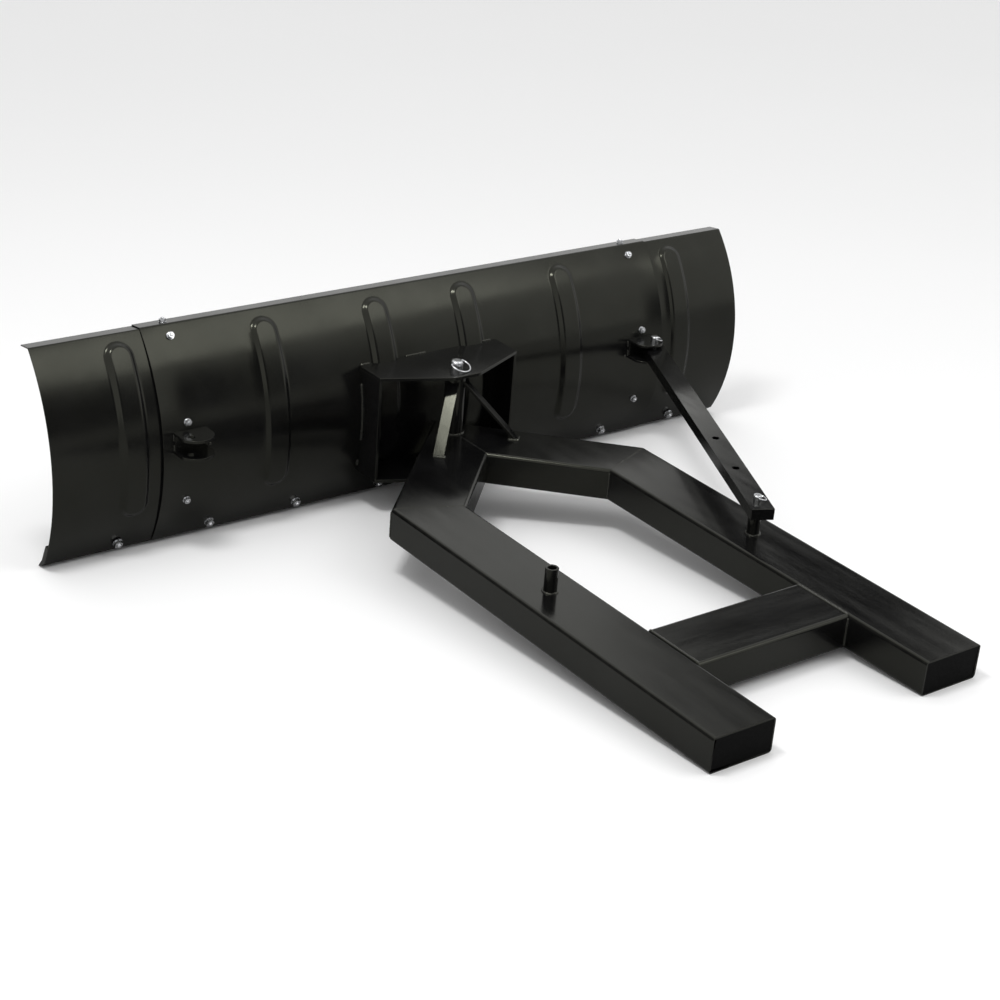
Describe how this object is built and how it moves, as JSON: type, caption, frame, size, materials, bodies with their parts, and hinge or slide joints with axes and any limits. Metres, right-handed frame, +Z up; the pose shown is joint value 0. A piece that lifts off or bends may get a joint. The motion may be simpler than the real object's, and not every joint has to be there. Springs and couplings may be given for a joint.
{
  "type": "atv plow blade",
  "caption": "Curved snow moldboard that swings about a kingpin on a push frame of rectangular tube, set by a perforated strut and lock pins.",
  "frame": {"origin": "on the floor under the middle of the object's bounding box, the object standing on its cutting edge and on the rear ends of its rails", "axes": "+X to the right along the blade, +Y forward from the rails to the blade, +Z up from the floor"},
  "size_m": [1.5, 1.1928, 0.3991],
  "materials": {
    "blade_black": "gloss",
    "frame_black": "gloss",
    "edge_black": "satin",
    "zinc_hardware": "satin",
    "black_plastic": "matte"
  },
  "bodies": {
    "push_frame": {"left_rail": "frame_black", "right_rail": "frame_black", "left_arm": "frame_black", "right_arm": "frame_black", "cross_tube": "frame_black", "left_end_cap": "black_plastic", "right_end_cap": "black_plastic", "kingpin_tube": "frame_black", "left_brace": "frame_black", "right_brace": "frame_black", "left_post": "frame_black", "right_post": "frame_black"},
    "blade": {"centre_panel": "blade_black", "left_wing_panel": "blade_black", "right_wing_panel": "blade_black", "cutting_edge": "edge_black", "seam_bolts": "zinc_hardware", "seam_nuts": "zinc_hardware", "edge_bolts": "zinc_hardware", "edge_nuts": "zinc_hardware", "lip_bolts": "zinc_hardware", "lip_nuts": "zinc_hardware", "bracket_top_plate": "frame_black", "bracket_bottom_plate": "frame_black", "left_cheek": "frame_black", "right_cheek": "frame_black", "left_clevis": "frame_black", "right_clevis": "frame_black"},
    "strut": {"strut_tube": "frame_black", "strut_cap": "black_plastic"},
    "kingpin": {"kingpin": "zinc_hardware"},
    "kingpin_ring": {"kingpin_ring": "zinc_hardware"},
    "clevis_pin": {"clevis_pin": "zinc_hardware"},
    "clevis_pin_ring": {"clevis_pin_ring": "zinc_hardware"},
    "post_pin": {"post_pin": "zinc_hardware"},
    "post_pin_ring": {"post_pin_ring": "zinc_hardware"}
  },
  "joints": [
    {"name": "blade_swing", "type": "hinge", "parent": "push_frame", "child": "blade", "pos_m": [0, 0.43706, 0.08269], "axis": [0, -0.0801, 0.9968], "range_deg": [-30, 0]},
    {"name": "strut_swing", "type": "hinge", "parent": "blade", "child": "strut", "pos_m": [0.509, 0.47374, 0.18797], "axis": [0, -0.0801, 0.9968], "range_deg": [0, 21]},
    {"name": "kingpin_lift", "type": "slide", "parent": "blade", "child": "kingpin", "axis": [0, -0.0801, 0.9968], "range_m": [0, 0.22]},
    {"name": "kingpin_ring_flip", "type": "hinge", "parent": "kingpin", "child": "kingpin_ring", "pos_m": [0, 0.4215, 0.27627], "axis": [-0.9404, -0.339, -0.0273], "range_deg": [0, 150]},
    {"name": "clevis_pin_lift", "type": "slide", "parent": "blade", "child": "clevis_pin", "axis": [0, -0.0801, 0.9968], "range_m": [0, 0.05]},
    {"name": "clevis_pin_ring_flip", "type": "hinge", "parent": "clevis_pin", "child": "clevis_pin_ring", "pos_m": [0.509, 0.47076, 0.22505], "axis": [-0.3401, -0.9374, -0.0753], "range_deg": [0, 150]},
    {"name": "post_pin_lift", "type": "slide", "parent": "strut", "child": "post_pin", "axis": [0, -0.0801, 0.9968], "range_m": [0, 0.05]},
    {"name": "post_pin_ring_flip", "type": "hinge", "parent": "post_pin", "child": "post_pin_ring", "pos_m": [0.2145, -0.14736, 0.16433], "axis": [-0.3401, -0.9374, -0.0753], "range_deg": [0, 150]}
  ],
  "couplings": [
    {"joint": "strut_swing", "follows": "blade_swing", "ratio": -0.6919}
  ]
}
